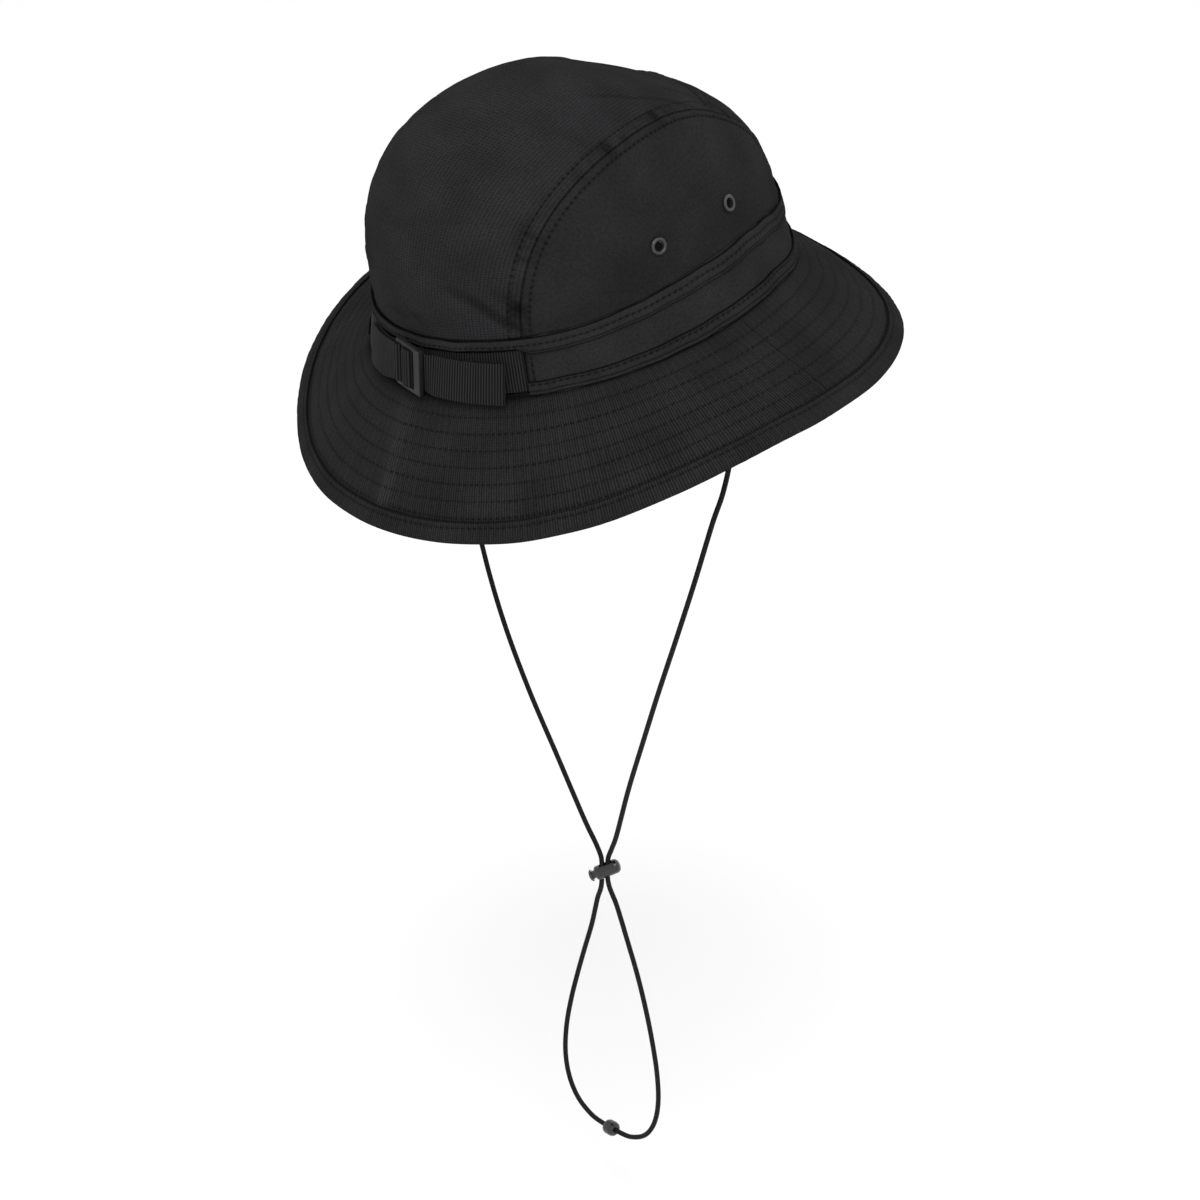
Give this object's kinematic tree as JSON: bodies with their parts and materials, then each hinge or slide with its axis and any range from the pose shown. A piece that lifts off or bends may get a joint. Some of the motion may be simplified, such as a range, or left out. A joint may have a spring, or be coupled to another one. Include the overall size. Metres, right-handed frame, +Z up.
{
  "type": "bucket hat",
  "caption": "Soft bucket hat with a deep panelled crown, drooping stitched brim, webbing buckle adjuster at the back and a corded chin strap with a sliding cord lock.",
  "frame": {"origin": "middle of the head opening, at the seam between the band and the brim", "axes": "+Z up against gravity, front of the hat towards -Y, wearer's left towards +X; the hat's own axis leans back 14.4 degrees about X, as worn, and the chin cord hangs straight down"},
  "size_m": [0.2868, 0.2729, 0.5429],
  "materials": {
    "crown_cloth": "matt light woven cloth, slightly napped",
    "brim_cloth": "matt ripstop cloth with rows of stitching",
    "lining_cloth": "plain matt cloth",
    "webbing": "ribbed narrow webbing",
    "braided_cord": "tight round braid",
    "matt_plastic": "matt moulded",
    "glossy_plastic": "glossy moulded",
    "dark_metal": "satin black lacquer"
  },
  "bodies": {
    "hat": {"crown_top_panel": "crown_cloth", "crown_front_panel": "crown_cloth", "crown_side_panel_left": "crown_cloth", "crown_side_panel_right": "crown_cloth", "crown_welt": "crown_cloth", "hat_band": "crown_cloth", "rear_gusset": "crown_cloth", "brim_welt": "crown_cloth", "sweatband": "lining_cloth", "seam_tape_left": "lining_cloth", "seam_tape_right": "lining_cloth", "brim_top_front": "brim_cloth", "brim_top_rear_left": "brim_cloth", "brim_top_rear_right": "brim_cloth", "brim_interlining": "lining_cloth", "brim_under_layer": "brim_cloth", "brim_edge_binding": "brim_cloth", "eyelet_front_left": "dark_metal", "eyelet_front_right": "dark_metal", "eyelet_rear_left": "dark_metal", "eyelet_rear_right": "dark_metal", "eyelet_washer_front_left": "dark_metal", "eyelet_washer_front_right": "dark_metal", "eyelet_washer_rear_left": "dark_metal", "eyelet_washer_rear_right": "dark_metal", "vent_screen_front_left": "lining_cloth", "vent_screen_front_right": "lining_cloth", "vent_screen_rear_left": "lining_cloth", "vent_screen_rear_right": "lining_cloth", "adjuster_strap": "webbing", "buckle_loop": "webbing", "cord_anchor_left": "webbing", "cord_anchor_right": "webbing"},
    "buckle": {"adjuster_buckle": "matt_plastic", "adjuster_strap_tail": "webbing"},
    "chin_cord": {"chin_cord_left": "braided_cord", "chin_cord_right": "braided_cord", "chin_cord_loop": "braided_cord", "cord_end_bead": "glossy_plastic"},
    "cord_lock": {"cord_lock_body": "glossy_plastic", "cord_lock_spring": "dark_metal"},
    "plunger": {"cord_lock_plunger": "glossy_plastic"}
  },
  "joints": [
    {"name": "chin_cord_swing", "type": "hinge", "parent": "hat", "child": "chin_cord", "pos_m": [0, -0.0116, 0.002], "axis": [1, 0, 0], "range_deg": [-40, 40]},
    {"name": "cord_lock_slide", "type": "slide", "parent": "chin_cord", "child": "cord_lock", "axis": [0, 0, 1], "range_m": [-0.1, 0.12], "deforming": ["chin_cord_left", "chin_cord_right", "chin_cord_loop"]},
    {"name": "plunger_press", "type": "slide", "parent": "cord_lock", "child": "plunger", "axis": [-0.6041, -0.6853, 0.4067], "range_m": [0, 0.0015], "stiffness_N_per_m": 200, "springref_m": -0.002, "deforming": ["cord_lock_spring"]},
    {"name": "buckle_tilt", "type": "hinge", "parent": "hat", "child": "buckle", "pos_m": [0.00246, 0.10391, -0.01337], "axis": [0.1516, -0.1365, -0.979], "range_deg": [0, 30]}
  ]
}
